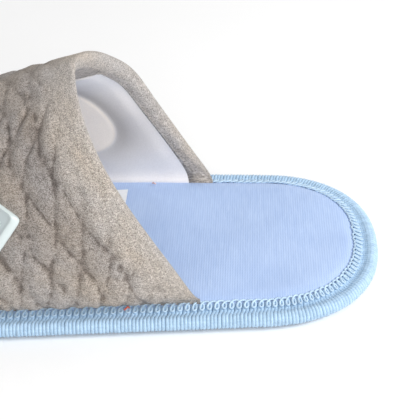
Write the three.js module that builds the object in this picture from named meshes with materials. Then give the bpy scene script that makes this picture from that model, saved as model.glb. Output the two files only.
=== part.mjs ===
// A closed-toe spa slipper for the left foot, in millimetres. +X points to the toe, +Y to the wearer's
// left (the outer side, which carries the badge) and +Z up. The origin is on the floor, under the middle.
// The sole is a stack of soft sheets, thin at the rim, where an overlocked yarn binding wraps the edge.
// The upper is a quilted shell over wadding and a fleece lining, with a turned edge round its throat.
import * as THREE from "three";
import { mergeVertices } from "three/addons/utils/BufferGeometryUtils.js";

// Outline of the sole: round ends, and sides that widen steadily towards the toe.
const LENGTH = 272;
const HEEL_HALF_WIDTH = 45.2;
const FLARE = 0.046; // widening of each side per millimetre of length
const HEEL_ROUND = { length: 44.6, power: 2.3 };
const TOE_ROUND = { length: 96, power: 2.4 };

// Upper: where it meets the sole, how high it stands and how it leans.
const SEAM_INSET = 9.3; // from the sole's edge to the outside of the shell
const SEAM_Z = 8.75;
const THROAT_FOOT_X = -65.2; // the throat's two lower ends
const THROAT_LEAN = { reach: 42.2, fade: 1.52, rise: 1.06 }; // how far the crown lies before the lower ends
const THROAT_CREST_Z = 87;
const CREST_FALL = { share: 0.458, power: 0.83 }; // how much of the crest's height is gone at the toe
const TOE_DOME_POWER = 0.8;
const BULGE = 5.8; // how far the walls swell out over the binding
const BULGE_RISE = 5; // height in which most of that swelling happens
const ARCH_AT_THROAT = { across: 1.4, up: 4.86 }; // superellipse powers of the upper's sections
const ARCH_AT_TOE = { across: 2.0, up: 2.8 };

// Depths of the upper's layers below its outside: [outer face, inner face].
const SHELL = [0, 1.6];
const WADDING = [1.9, 5.2];
const LINING = [5.5, 6.9];
const FACING_TURN = 0.05; // share of the seam's length that the turned edge reaches inside

// Sole stack: height of each sheet at the rim and in the middle.
const SHEET_EDGE_INSET = 1.4;
const RIM_INSET = 11.5; // the flat rim's inner edge
const PAD_INSET = 14.5; // where the middle has its full height
const OUTSOLE = { rimBottom: 0.95, bottom: 0, top: 2.2 };
const FOAM = { bottom: 2.45, rimTop: 3.15, top: 5.0 };
const SPONGE = { rimBottom: 3.4, bottom: 5.25, rimTop: 3.9, top: 7.3 };
const COVER = { rimBottom: 4.1, bottom: 7.55, rimTop: 4.5, top: 8.2 };
const FLANGE = { outerInset: 2.8, bottom: 4.75, top: 5.25 }; // the shell's sewn-down margin

const LABEL = { length: 24, width: 62, thickness: 0.25, heelEdgeX: -34.4, bottom: 8.4 };
const BADGE = { side: 26, thickness: 1.8, border: 0.9, borderWidth: 3, turnDeg: -45, along: 0.258, rise: 0.6 };

const OUTLINE_STEPS = 1440;
const RING_POINTS = 84;
const SECTION_STEPS = 9; // per side of an arch
const LENGTH_STEPS = 14;

// ---- outline ----

function flaredHalfWidth(x) {
  return HEEL_HALF_WIDTH + FLARE * (x + LENGTH / 2);
}

function roundEnd(distance, { length, power }) {
  return distance <= 0 ? 1 : Math.max(0, 1 - (distance / length) ** power) ** (1 / power);
}

function halfWidth(x) {
  const heel = roundEnd(HEEL_ROUND.length - LENGTH / 2 - x, HEEL_ROUND);
  const toe = roundEnd(x - (LENGTH / 2 - TOE_ROUND.length), TOE_ROUND);
  return flaredHalfWidth(x) * heel * toe;
}

// The outline as points at even steps of arc length: from the toe's tip, along +Y to the heel and back.
const outline = (() => {
  const dense = [];
  for (let i = 0; i <= OUTLINE_STEPS; i++) {
    const angle = (2 * Math.PI * i) / OUTLINE_STEPS;
    const x = (LENGTH / 2) * Math.cos(angle);
    dense.push(new THREE.Vector2(x, Math.sign(Math.sin(angle)) * halfWidth(x)));
  }
  const reach = [0];
  for (let i = 1; i < dense.length; i++) reach.push(reach[i - 1] + dense[i].distanceTo(dense[i - 1]));
  return { dense, reach, perimeter: reach[reach.length - 1] };
})();

function outlineAt(distance) {
  const { dense, reach, perimeter } = outline;
  const d = ((distance % perimeter) + perimeter) % perimeter;
  let low = 0;
  let high = reach.length - 1;
  while (high - low > 1) {
    const middle = (low + high) >> 1;
    if (reach[middle] <= d) low = middle;
    else high = middle;
  }
  return dense[low].clone().lerp(dense[high], (d - reach[low]) / (reach[high] - reach[low]));
}

// A point of the outline moved inwards, with the outline's outward direction there.
function rimPoint(distance, inset) {
  const step = 1.5;
  const tangent = outlineAt(distance + step).sub(outlineAt(distance - step)).normalize();
  const outward = new THREE.Vector2(tangent.y, -tangent.x);
  const at = outlineAt(distance).addScaledVector(outward, -inset);
  return { x: at.x, y: at.y, outward };
}

// ---- building closed meshes ----

function meshFrom(name, points, triangles, material) {
  const geometry = new THREE.BufferGeometry();
  geometry.setAttribute("position", new THREE.Float32BufferAttribute(points.flatMap((p) => [p.x, p.y, p.z]), 3));
  const different = (a, b) => points[a].distanceTo(points[b]) > 1e-3;
  const whole = triangles.filter(([a, b, c]) => different(a, b) && different(b, c) && different(a, c));
  geometry.setIndex(whole.flat());
  const mesh = new THREE.Mesh(mergeVertices(geometry, 1e-3), material);
  mesh.geometry.computeVertexNormals();
  mesh.name = name;
  return mesh;
}

function quad(triangles, a, b, c, d) {
  triangles.push([a, b, c], [a, c, d]);
}

// Sweeps a profile of [inset, z] points round the outline. An open profile runs from the middle of the
// top to the middle of the bottom and is capped at both ends; a closed one makes a ring.
function aroundOutline(name, profile, material, closed = false) {
  const points = [];
  const triangles = [];
  const ring = (row, i) => row * RING_POINTS + (i % RING_POINTS);
  for (const [inset, z] of profile)
    for (let i = 0; i < RING_POINTS; i++) {
      const p = rimPoint((outline.perimeter * i) / RING_POINTS, inset);
      points.push(new THREE.Vector3(p.x, p.y, z));
    }
  const rows = closed ? profile.length : profile.length - 1;
  for (let row = 0; row < rows; row++)
    for (let i = 0; i < RING_POINTS; i++) {
      const next = (row + 1) % profile.length;
      quad(triangles, ring(row, i), ring(next, i), ring(next, i + 1), ring(row, i + 1));
    }
  if (!closed) {
    const top = points.push(new THREE.Vector3(0, 0, profile[0][1])) - 1;
    const bottom = points.push(new THREE.Vector3(0, 0, profile[profile.length - 1][1])) - 1;
    for (let i = 0; i < RING_POINTS; i++) {
      triangles.push([top, ring(0, i), ring(0, i + 1)]);
      triangles.push([bottom, ring(profile.length - 1, i + 1), ring(profile.length - 1, i)]);
    }
  }
  return meshFrom(name, points, triangles, material);
}

// A skin between two grids of points, outer[i][j] and inner[i][j], closed along the edges of j and at
// the first i, and at the last i unless both sides already meet there.
function skin(name, outer, inner, material, meetsAtEnd) {
  const rows = outer.length;
  const columns = outer[0].length;
  const points = [...outer.flat(), ...inner.flat()];
  const out = (i, j) => i * columns + j;
  const inn = (i, j) => rows * columns + i * columns + j;
  const triangles = [];
  for (let i = 0; i < rows - 1; i++) {
    for (let j = 0; j < columns - 1; j++) {
      quad(triangles, out(i, j), out(i, j + 1), out(i + 1, j + 1), out(i + 1, j));
      quad(triangles, inn(i, j), inn(i + 1, j), inn(i + 1, j + 1), inn(i, j + 1));
    }
    quad(triangles, out(i, 0), out(i + 1, 0), inn(i + 1, 0), inn(i, 0));
    quad(triangles, out(i + 1, columns - 1), out(i, columns - 1), inn(i, columns - 1), inn(i + 1, columns - 1));
  }
  for (let j = 0; j < columns - 1; j++) {
    quad(triangles, out(0, j + 1), out(0, j), inn(0, j), inn(0, j + 1));
    if (!meetsAtEnd) quad(triangles, out(rows - 1, j), out(rows - 1, j + 1), inn(rows - 1, j + 1), inn(rows - 1, j));
  }
  return meshFrom(name, points, triangles, material);
}

// Joins loops of points, one per section, into a bar with flat ends. The ends are cut into triangles
// in the plane of the flat profile, which lists the same points as [u, v].
function bar(name, sections, profile, material) {
  const count = profile.length;
  const triangles = [];
  for (let s = 0; s < sections.length - 1; s++)
    for (let k = 0; k < count; k++) {
      const next = (k + 1) % count;
      quad(triangles, s * count + k, s * count + next, (s + 1) * count + next, (s + 1) * count + k);
    }
  const flat = profile.map(([u, v]) => new THREE.Vector2(u, v));
  const last = (sections.length - 1) * count;
  for (const [a, b, c] of THREE.ShapeUtils.triangulateShape(flat, [])) {
    triangles.push([a, c, b]);
    triangles.push([last + a, last + b, last + c]);
  }
  return meshFrom(name, sections.flat(), triangles, material);
}

// ---- the upper's surface ----

const SEAM_LENGTH = (() => {
  let distance = 0;
  while (outlineAt(distance).x > THROAT_FOOT_X) distance += 0.25;
  return distance;
})();

// The upper at share t of the way from the throat to the toe, at share rise of the arch's height, and
// at a depth below the outside. side is 1 on the +Y half and -1 on the other.
function upperPoint(t, rise, depth, side = 1) {
  const foot = rimPoint(SEAM_LENGTH * (1 - t), SEAM_INSET + depth);
  const toeX = LENGTH / 2 - SEAM_INSET - depth;
  const along = THREE.MathUtils.clamp((foot.x - THROAT_FOOT_X) / (toeX - THROAT_FOOT_X), 0, 1);
  const closing = Math.min(1, Math.max(0, foot.y) / (flaredHalfWidth(foot.x) - SEAM_INSET - depth));
  const fall = CREST_FALL.share * along ** CREST_FALL.power;
  const crest = (THROAT_CREST_Z - SEAM_Z) * (1 - fall) - depth;
  const height = crest * closing ** TOE_DOME_POWER * rise;
  const across = THREE.MathUtils.lerp(ARCH_AT_THROAT.across, ARCH_AT_TOE.across, along);
  const up = THREE.MathUtils.lerp(ARCH_AT_THROAT.up, ARCH_AT_TOE.up, along);
  const narrowing = Math.max(0, 1 - rise ** up) ** (1 / across);
  const swell = BULGE * (1 - Math.exp(-height / BULGE_RISE));
  const lean = THROAT_LEAN.reach * (1 - along) ** THROAT_LEAN.fade * rise ** THROAT_LEAN.rise;
  return new THREE.Vector3(
    foot.x + lean + foot.outward.x * swell,
    side * (Math.max(0, foot.y) + foot.outward.y * swell) * narrowing,
    SEAM_Z + height,
  );
}

// Shares of rise that divide half an arch into even lengths, from its foot to its crown.
function evenRises(t) {
  const depth = (SHELL[0] + LINING[1]) / 2;
  const fine = 200;
  const rises = [];
  for (let i = 0; i <= fine; i++) rises.push(Math.sin((Math.PI / 2) * (i / fine)) ** 0.8);
  const reach = [0];
  for (let i = 1; i <= fine; i++)
    reach.push(reach[i - 1] + upperPoint(t, rises[i], depth).distanceTo(upperPoint(t, rises[i - 1], depth)));
  const result = [0];
  let i = 0;
  for (let k = 1; k < SECTION_STEPS; k++) {
    while (reach[i + 1] < (reach[fine] * k) / SECTION_STEPS) i++;
    const share = ((reach[fine] * k) / SECTION_STEPS - reach[i]) / (reach[i + 1] - reach[i]);
    result.push(THREE.MathUtils.lerp(rises[i], rises[i + 1], share));
  }
  return [...result, 1];
}

// One arch, from its foot on the +Y side over the crown to its foot on the other side.
function arch(t, depth) {
  const rises = evenRises(Math.min(t, 0.97));
  const near = rises.map((rise) => upperPoint(t, rise, depth, 1));
  const far = rises.slice(0, -1).reverse().map((rise) => upperPoint(t, rise, depth, -1));
  return [...near, ...far];
}

// The sections every layer shares: the throat's edge, where the lining starts, then even steps.
const sectionShares = (() => {
  const start = FACING_TURN + 0.0015;
  const steps = Array.from({ length: LENGTH_STEPS + 1 }, (_, i) => start + ((1 - start) * i) / LENGTH_STEPS);
  return [0, ...steps];
})();

function upperLayer(name, [outerDepth, innerDepth], shares, material) {
  const outer = shares.map((t) => arch(t, outerDepth));
  const inner = shares.map((t) => arch(t, innerDepth));
  return skin(name, outer, inner, material, true);
}

// The shell carries on below the seam as a skirt and a flange, which the binding holds down.
function upperShell(material) {
  const margin = (t, depth, flangeZ, side) => {
    const distance = SEAM_LENGTH * (1 - t);
    return [
      [FLANGE.outerInset, flangeZ],
      [SEAM_INSET + depth, flangeZ],
    ].map(([inset, z]) => {
      const p = rimPoint(distance, inset);
      return new THREE.Vector3(p.x, side * Math.max(0, p.y), z);
    });
  };
  const section = (t, depth, flangeZ) => [
    ...margin(t, depth, flangeZ, 1),
    ...arch(t, depth),
    ...margin(t, depth, flangeZ, -1).reverse(),
  ];
  const outer = sectionShares.map((t) => section(t, SHELL[0], FLANGE.top));
  const inner = sectionShares.map((t) => section(t, SHELL[1], FLANGE.bottom));
  return skin("upper_shell", outer, inner, material, true);
}

// The turned edge: a rounded nose in front of the layers and a band that lies inside them. Profile
// points are [reach in front of the throat's edge, depth]; a reach below 0 is a share t behind it.
function throatFacing(material) {
  const profile = [
    [0.3, 0],
    [1.9, 0.7],
    [3.0, 2.1],
    [3.4, 3.5],
    [3.0, 4.9],
    [1.9, 6.3],
    [0, LINING[1]],
    [-FACING_TURN, LINING[1]],
    [-FACING_TURN, LINING[0]],
    [0.3, LINING[0]],
  ];
  const middle = (SHELL[0] + LINING[1]) / 2;
  const edge = evenRises(0);
  const stations = [
    ...edge.map((rise) => ({ rise, side: 1 })),
    ...edge.slice(0, -1).reverse().map((rise) => ({ rise, side: -1 })),
  ];
  const sections = stations.map(({ rise, side }) => {
    const forward = upperPoint(0, rise, middle, side).sub(upperPoint(0.02, rise, middle, side)).normalize();
    return profile.map(([reach, depth]) =>
      reach < 0
        ? upperPoint(-reach, rise, depth, side)
        : upperPoint(0, rise, depth, side).addScaledVector(forward, reach),
    );
  });
  return bar("throat_facing", sections, profile, material);
}

// The row of thread that joins the turned edge to the lining, standing just proud of both.
function facingSeam(material) {
  const t = FACING_TURN + 0.006;
  const profile = [
    [0.002, LINING[1] + 0.35],
    [0.002, LINING[1] + 0.95],
    [-0.002, LINING[1] + 0.95],
    [-0.002, LINING[1] + 0.35],
  ];
  const edge = evenRises(t);
  const stations = [
    ...edge.map((rise) => ({ rise, side: 1 })),
    ...edge.slice(0, -1).reverse().map((rise) => ({ rise, side: -1 })),
  ];
  const sections = stations.map(({ rise, side }) =>
    profile.map(([forward, depth]) => upperPoint(t - forward, rise, depth, side)),
  );
  return bar("facing_seam", sections, profile, material);
}

// ---- the badge on the outer side ----

// A frame on the shell's outside at the badge's middle, and the shell's point above any (u, v) in it.
const badgeFrame = (() => {
  const at = (t, rise) => upperPoint(t, rise, 0);
  const { along, rise } = BADGE;
  const origin = at(along, rise);
  const toToe = at(along + 0.01, rise).sub(at(along - 0.01, rise)).normalize();
  const upwards = at(along, rise + 0.01).sub(at(along, rise - 0.01));
  const normal = toToe.clone().cross(upwards).normalize().negate();
  const turn = THREE.MathUtils.degToRad(BADGE.turnDeg);
  const right = toToe.clone().applyAxisAngle(normal, turn);
  const up = normal.clone().cross(right);
  return { origin, normal, right, up };
})();

function shellAbove(u, v) {
  const { origin, right, up, normal } = badgeFrame;
  let t = BADGE.along;
  let rise = BADGE.rise;
  const miss = (a, b) => {
    const gap = upperPoint(a, b, 0).sub(origin);
    return [gap.dot(right) - u, gap.dot(up) - v];
  };
  const step = 1e-3;
  for (let round = 0; round < 12; round++) {
    const [e, f] = miss(t, rise);
    const [e1, f1] = miss(t + step, rise).map((x, i) => (x - [e, f][i]) / step);
    const [e2, f2] = miss(t, rise + step).map((x, i) => (x - [e, f][i]) / step);
    const det = e1 * f2 - e2 * f1;
    t -= (e * f2 - f * e2) / det;
    rise -= (f * e1 - e * f1) / det;
  }
  return upperPoint(t, rise, 0).sub(origin).dot(normal);
}

function onBadge(u, v, lift) {
  const { origin, right, up, normal } = badgeFrame;
  return origin.clone().addScaledVector(right, u).addScaledVector(up, v).addScaledVector(normal, shellAbove(u, v) + lift);
}

function badgeGrid(marks, liftAt) {
  return marks.map((v) => marks.map((u) => onBadge(u, v, liftAt(u, v))));
}

function sideBadge(material) {
  const half = BADGE.side / 2;
  const inner = half - BADGE.borderWidth;
  const marks = [-half, -inner - 0.4, -inner, -inner / 3, inner / 3, inner, inner + 0.4, half];
  const top = (u, v) => {
    const inBorder = Math.max(Math.abs(u), Math.abs(v)) > inner + 0.2;
    return 0.35 + BADGE.thickness + (inBorder ? BADGE.border : 0);
  };
  return skin("side_badge", badgeGrid(marks, top), badgeGrid(marks, () => 0.35), material, false);
}

function badgeStitching(material) {
  const half = BADGE.side / 2 - BADGE.borderWidth - 1.2;
  const bottom = 0.35 + BADGE.thickness + 0.3;
  const corners = [
    [half, half],
    [-half, half],
    [-half, -half],
    [half, -half],
  ];
  const sections = [];
  for (const [k, [u, v]] of corners.entries()) {
    const [nextU, nextV] = corners[(k + 1) % corners.length];
    for (let i = 0; i < 4; i++) sections.push([u + ((nextU - u) * i) / 4, v + ((nextV - v) * i) / 4]);
  }
  const shrink = (share) => (half - share) / half;
  const rows = [
    [0, 0],
    [0, 0.5],
    [0.8, 0.5],
    [0.8, 0],
  ];
  const points = sections.flatMap(([u, v]) =>
    rows.map(([inwards, lift]) => onBadge(u * shrink(inwards), v * shrink(inwards), bottom + lift)),
  );
  const triangles = [];
  for (let s = 0; s < sections.length; s++)
    for (let k = 0; k < rows.length; k++) {
      const a = s * rows.length;
      const b = ((s + 1) % sections.length) * rows.length;
      const next = (k + 1) % rows.length;
      quad(triangles, a + k, b + k, b + next, a + next);
    }
  return meshFrom("badge_stitching", points, triangles, material);
}

// ---- the sole and its binding ----

function outsole(material) {
  const profile = [
    [PAD_INSET, OUTSOLE.top],
    [SHEET_EDGE_INSET, OUTSOLE.top],
    [SHEET_EDGE_INSET, 1.95],
    [2.7, OUTSOLE.rimBottom],
    [8.9, OUTSOLE.rimBottom],
    [9.2, OUTSOLE.bottom],
  ];
  return aroundOutline("outsole", profile, material);
}

function soleSheet(name, { rimBottom, bottom, rimTop, top }, material) {
  const profile = [
    [PAD_INSET, top],
    [RIM_INSET, rimTop],
    [SHEET_EDGE_INSET, rimTop],
    [SHEET_EDGE_INSET, rimBottom ?? bottom],
    [RIM_INSET, rimBottom ?? bottom],
    [PAD_INSET, bottom],
  ];
  return aroundOutline(name, profile, material);
}

function insoleLabel(material) {
  const { length, width, thickness, heelEdgeX, bottom } = LABEL;
  const mesh = new THREE.Mesh(new THREE.BoxGeometry(length, width, thickness), material);
  mesh.position.set(heelEdgeX + length / 2, 0, bottom + thickness / 2);
  mesh.name = "insole_label";
  return mesh;
}

function edgeBinding(material) {
  const profile = [
    [8.8, 6.35],
    [3.0, 6.35],
    [0.7, 5.4],
    [0, 3.2],
    [0.7, 1.0],
    [3.0, 0.1],
    [7.1, 0.1],
    [7.1, 0.7],
    [2.4, 0.75],
    [1.05, 1.9],
    [1.05, 4.6],
    [2.4, 5.5],
    [8.8, 5.5],
  ];
  return aroundOutline("edge_binding", profile, material, true);
}

function chainRow(name, [outerInset, innerInset], [bottom, top], material) {
  const profile = [
    [innerInset, bottom],
    [innerInset, top],
    [outerInset, top],
    [outerInset, bottom],
  ];
  return aroundOutline(name, profile, material, true);
}

// ---- materials and assembly ----

const cloth = (color, roughness = 0.95) => new THREE.MeshStandardMaterial({ color, roughness, metalness: 0 });
const marl = cloth(0xa9a29b);
const fleece = cloth(0xe9e8ee);
const skyYarn = cloth(0xa9d2ee, 0.7);
const periwinkle = cloth(0xb4caf0);
const foam = cloth(0xf2f2f0);
const eva = cloth(0x9fc3e2, 0.8);
const white = cloth(0xf4f4f2, 0.6);
const mint = cloth(0xb9cfca, 0.35);

const slipper = new THREE.Group();
slipper.add(
  outsole(eva),
  soleSheet("midsole_foam", FOAM, foam),
  soleSheet("insole_sponge", SPONGE, foam),
  soleSheet("insole_cover", COVER, periwinkle),
  insoleLabel(white),
  edgeBinding(skyYarn),
  chainRow("top_chain_stitch", [7.4, 8.8], [6.65, 7.3], skyYarn),
  chainRow("bottom_chain_stitch", [7.4, 8.6], [0.1, 0.65], skyYarn),
  upperShell(marl),
  upperLayer("upper_wadding", WADDING, sectionShares, foam),
  upperLayer("upper_lining", LINING, sectionShares.slice(1), fleece),
  throatFacing(marl),
  facingSeam(fleece),
  sideBadge(mint),
  badgeStitching(mint),
);

export default slipper;
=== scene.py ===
"""A closed-toe spa slipper's looks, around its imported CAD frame. Shapes are worked out in millimetres."""

import math

import bmesh
import bpy
import numpy as np
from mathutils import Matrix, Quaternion, Vector

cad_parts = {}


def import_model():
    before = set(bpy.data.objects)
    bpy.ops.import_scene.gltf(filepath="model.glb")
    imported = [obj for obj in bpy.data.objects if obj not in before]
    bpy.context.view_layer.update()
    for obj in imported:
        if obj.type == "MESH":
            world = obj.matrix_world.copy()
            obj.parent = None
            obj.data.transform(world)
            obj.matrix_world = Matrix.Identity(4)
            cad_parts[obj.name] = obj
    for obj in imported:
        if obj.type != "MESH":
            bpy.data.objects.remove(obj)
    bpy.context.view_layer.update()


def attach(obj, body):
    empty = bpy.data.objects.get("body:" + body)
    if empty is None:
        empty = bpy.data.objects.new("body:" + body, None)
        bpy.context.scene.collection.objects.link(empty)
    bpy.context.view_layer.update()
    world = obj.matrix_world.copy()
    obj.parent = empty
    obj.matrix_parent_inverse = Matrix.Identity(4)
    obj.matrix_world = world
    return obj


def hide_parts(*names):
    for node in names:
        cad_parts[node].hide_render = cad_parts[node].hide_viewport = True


MM = 0.001
WELD_MM = 0.01  # points closer than this are one

# Outline of the sole, as in the CAD.
LENGTH = 272.0
HEEL_HALF_WIDTH = 45.2
FLARE = 0.046  # widening of each side per millimetre of length
HEEL_ROUND = (44.6, 2.3)  # length of the rounding, power of its curve
TOE_ROUND = (96.0, 2.4)
OUTLINE_STEPS = 4000

# The upper's surface, as in the CAD but with a tighter foot, a lower crest and a fuller inner shoulder.
SEAM_INSET = 9.3  # from the sole's edge to the upper's outside at its foot
SEAM_Z = 7.7
THROAT_FOOT_X = -65.2  # the throat's two lower ends
THROAT_LEAN = 42.2  # how far the crown lies before the lower ends
LEAN_FADE = 1.52
LEAN_RISE = 1.06
THROAT_CREST_Z = 86.6
CREST_FALL = 0.458  # share of the crest's height that is gone at the toe
CREST_FALL_POWER = 0.83
TOE_DOME_POWER = 0.8
BULGE = 5.8  # how far the walls swell out over the binding
BULGE_RISE = 3.2  # height in which most of that swelling happens
ARCH_AT_THROAT = (1.4, 4.86)  # powers across and up
ARCH_AT_TOE = (2.0, 2.8)
SHOULDER = 1.3  # how much fuller the inner side stands below the throat's crown
SHOULDER_RISE = 0.66
SHOULDER_SPREAD = 0.12
SHOULDER_FADE = 3
FOOT_REACH = (2.8, 4.8)  # how far the throat's lower ends run on towards the heel, outer and inner side
FOOT_REACH_HEIGHT = 8.0
FOOT_REACH_FADE = 12
UPPER_THICKNESS = 6.9
FOOT_PINCH = 0.8  # share of the thickness that is pressed away where the upper is sewn down
PINCH_RISE = 7.0
UPPER_FOOT_Z = 6.0  # where the upper's feet end inside the binding
LINING_FOOT_Z = 6.6

# Quilting: two families of sewn lines on the flat cloth.
STEEP_SPACING = 9.6
STEEP_TILT = math.radians(9)
SLANT_SPACING = 9.8
SLANT_TILT = math.radians(25)
LINE_DRIFT = 1.2  # how far a sewn line wanders slowly, and how far it trembles
LINE_TREMBLE = 0.25
PUFF_HEIGHT = 0.8
CREASE_DEPTH = 0.65
CREASE_WIDTH = 0.9
PUCKER_HEIGHT = 0.2
PUCKER_REACH = 2.2  # how far the puckers run from a sewn line
GATHER_HEIGHT = 0.45
GATHER_REACH = 7.0  # how far the gathers run up from the foot
CROWN_CALM = 0.55  # share of the quilting that is lost along a band beside the crown
CROWN_CALM_AT = -14.0
CROWN_CALM_WIDTH = 26.0
TOE_CALM_SHARE = 0.05  # share of the seam's length in which the quilting fades at the toe
EDGE_NEARNESS = 0.8  # distance to the leaning throat edge, per millimetre along the seam

# The throat's edge: a plain band outside, a roll, and a turned edge inside.
HEM_WIDTH = 8.0
EDGE_ROUNDING = 0.9  # how far the outside dips towards the throat's edge
EDGE_ROUNDING_REACH = 4.5
ROLL_STEPS = 13
FACING_SHARE = 0.01  # share of the seam's length that the turned edge reaches inside
FACING_FOOT_SHARE = 0.024  # and how much further at the foot
FACING_CROWN_SHARE = 0.09  # and under the crown
FACING_TUCK_SHARE = 0.05  # how far its hidden end reaches on behind the lining
FACING_TUCK_DEPTH = 5.4
FACING_THREAD_RADIUS = 0.16
FACING_STITCH = 2.4
FACING_STITCH_PITCH = 3.4

# The lining's loose fold on the inner side: middle (x, z), half lengths and tilt.
FOLD_MIDDLE = (5.0, 44.3)
FOLD_REACH = (38.1, 19.1)
FOLD_TILT = math.radians(24)
FOLD_TOE_STRETCH = 0.45  # the fold runs out slowly towards the toe
FOLD_HEIGHT = 0.5

# Edge binding: the wrapping yarn's path from under the sole, round the rim and up to the loops, as insets
# from the sole's edge and heights.
BINDING_PATH = np.array(
    [
        (8.4, 0.75),
        (6.0, 0.72),
        (3.4, 0.85),
        (1.9, 1.35),
        (1.05, 2.2),
        (0.9, 3.2),
        (1.25, 4.15),
        (2.2, 5.1),
        (3.4, 5.25),
        (4.8, 4.5),
        (6.2, 4.4),
        (7.6, 5.2),
        (9.0, 6.05),
    ]
)
BINDING_MIDDLE = np.array([4.6, 2.9])
BED_SINK = 0.15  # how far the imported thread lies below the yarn's path
BED_STATIONS = 720
LOOP_PITCH = 2.69
STRANDS_A_LOOP = 2
WRAP_RADIUS = 0.78
UNDER_RADIUS = 0.66
WRAP_PULL = 0.14  # how far the strands of a loop draw together, in strands
WRAP_SLANT = 0.9  # how far they lean along the edge, in strands
WRAP_SEED = 20

# The rows of loops. rise is how far a loop's head stands over its foot, and sunk is how far the upper
# presses the loops down.
TOP_LOOPS = {"inset": 8.0, "half_width": 1.55, "z": 6.55, "rise": 0.65, "sunk": 0.3, "radius": 0.4}
BOTTOM_LOOPS = {"inset": 9.0, "half_width": 0.9, "z": 0.42, "rise": 0.0, "sunk": 0.0, "radius": 0.3}
TOP_LOOPS_SEED = 41
BOTTOM_LOOPS_SEED = 42
LOOP_STEPS = 18
LOOP_OVERLAP = 0.48  # how far a loop swings back along the edge, in loops
LOOP_LEAN = 0.25  # how far its head leans along the edge
LOOP_WEAVE = 0.22  # how far a loop's two sides pass over and under each other

OUTER_THREAD_X = -40.8
INNER_THREAD_X = -46.4
THREAD_STEPS = 12

# The badge, as in the CAD but with a narrower border.
BADGE_SIDE = 26.0
BADGE_THICKNESS = 1.8
BADGE_BORDER = 0.9
BADGE_BORDER_WIDTH = 2.2
BADGE_FACE_SHIFT = 1.7  # the face lies towards the badge's upper corner, so the lower border is wider
BADGE_TURN = math.radians(-45)
BADGE_ALONG = 0.258
BADGE_RISE = 0.6
BADGE_SEAT = 0.35  # how far it is lifted off the unquilted surface
BADGE_STATIONS = 160
BADGE_CORNER_POWER = 14
STITCHES_A_SIDE = 7

# The sole's sheets. Their rows of points lie closer together near the rim.
OUTSOLE_TOP = 2.3
TREAD_DEPTH = 0.9
TREAD_PITCH = 5.2
PADDING_BOTTOM = 2.5
PADDING_RIM_TOP = 4.1
PADDING_RISE = 3.2
INSOLE_Z = 8.3
INSOLE_DRAWN_DOWN = 3.0  # how deep its edge is pulled under the loops
DISC_STATIONS = 480
SHEET_INSETS = np.concatenate([np.linspace(1.9, 16, 16), np.arange(17.2, 30, 1.2)])
INSOLE_INSETS = np.concatenate([np.linspace(8.6, 16, 16), np.linspace(17.5, 30, 10)])

LABEL_LENGTH = 24.0
LABEL_WIDTH = 62.0
LABEL_HEEL_EDGE_X = -34.4
LABEL_Z = 8.75
LABEL_CURL = 0.35

CAMERA_PLACE = (-92.34, 313.34, 247.16)
CAMERA_AIM = (-70.67, 0.41, 20.5)
CAMERA_ROLL = math.radians(-3.17)
CAMERA_LENS = 85.6

# Lights, in metres and watts.
KEY_LIGHT = {"place": (-0.88, 0.2, 0.6), "aim": (-0.02, 0, 0.03), "size": 0.35, "power": 6.0}
FILL_LIGHT = {"place": (-0.35, 0.95, 0.62), "aim": (0, 0, 0.03), "size": 0.8, "power": 3.9}
SKY_STRENGTH = 0.66
FLOOR_REACH = 3.0
FLOOR_Z = -0.0003

WHITE = (1.0, 1.0, 1.0, 1.0)


# ---- outline of the sole ----


def round_end(distance, length, power):
    share = np.clip(distance / length, 0, 1)
    return (1 - share**power) ** (1 / power)


def flared_half_width(x):
    return HEEL_HALF_WIDTH + FLARE * (x + LENGTH / 2)


def half_width(x):
    heel = round_end(HEEL_ROUND[0] - LENGTH / 2 - x, *HEEL_ROUND)
    toe = round_end(x - LENGTH / 2 + TOE_ROUND[0], *TOE_ROUND)
    return flared_half_width(x) * heel * toe


def dense_outline():
    """Points of the outline from the toe's tip along +Y, round the heel and back, and how far each lies."""
    angle = np.linspace(0, 2 * np.pi, OUTLINE_STEPS + 1)
    x = LENGTH / 2 * np.cos(angle)
    y = np.sign(np.sin(angle)) * half_width(x)
    reach = np.concatenate([[0], np.cumsum(np.hypot(np.diff(x), np.diff(y)))])
    return x, y, reach


OUTLINE_X, OUTLINE_Y, OUTLINE_REACH = dense_outline()
PERIMETER = OUTLINE_REACH[-1]


def outline_at(distance):
    d = np.mod(distance, PERIMETER)
    return np.stack([np.interp(d, OUTLINE_REACH, OUTLINE_X), np.interp(d, OUTLINE_REACH, OUTLINE_Y)], -1)


def reach_at(x):
    """Distance along the outline from the toe's tip to x, on the outer side."""
    half = OUTLINE_STEPS // 2 + 1
    return float(np.interp(-x, -OUTLINE_X[:half], OUTLINE_REACH[:half]))


def rim(distance, inset):
    """Points of the outline moved inwards, and the outward direction at each."""
    tangent = outline_at(distance + 1.5) - outline_at(distance - 1.5)
    tangent /= np.linalg.norm(tangent, axis=-1, keepdims=True)
    outward = np.stack([tangent[..., 1], -tangent[..., 0]], -1)
    return outline_at(distance) - outward * np.asarray(inset)[..., None], outward


SEAM_LENGTH = reach_at(THROAT_FOOT_X)


# ---- fields ----


def waves(points, wavelength, seed):
    """A smooth random field of about unit size over points of any number of dimensions."""
    count = 14
    draw = np.random.default_rng(seed)
    direction = draw.normal(size=(count, points.shape[-1]))
    direction /= np.linalg.norm(direction, axis=1, keepdims=True)
    frequency = 2 * np.pi / (wavelength * draw.uniform(0.7, 1.5, count))
    phase = draw.uniform(0, 2 * np.pi, count)
    return np.cos(points @ (direction * frequency[:, None]).T + phase).sum(-1) * math.sqrt(2 / count)


def smooth_step(low, high, value):
    t = np.clip((value - low) / (high - low), 0, 1)
    return t * t * (3 - 2 * t)


def bell(value, middle, width):
    return np.exp(-(((value - middle) / width) ** 2))


# ---- meshes ----


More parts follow.
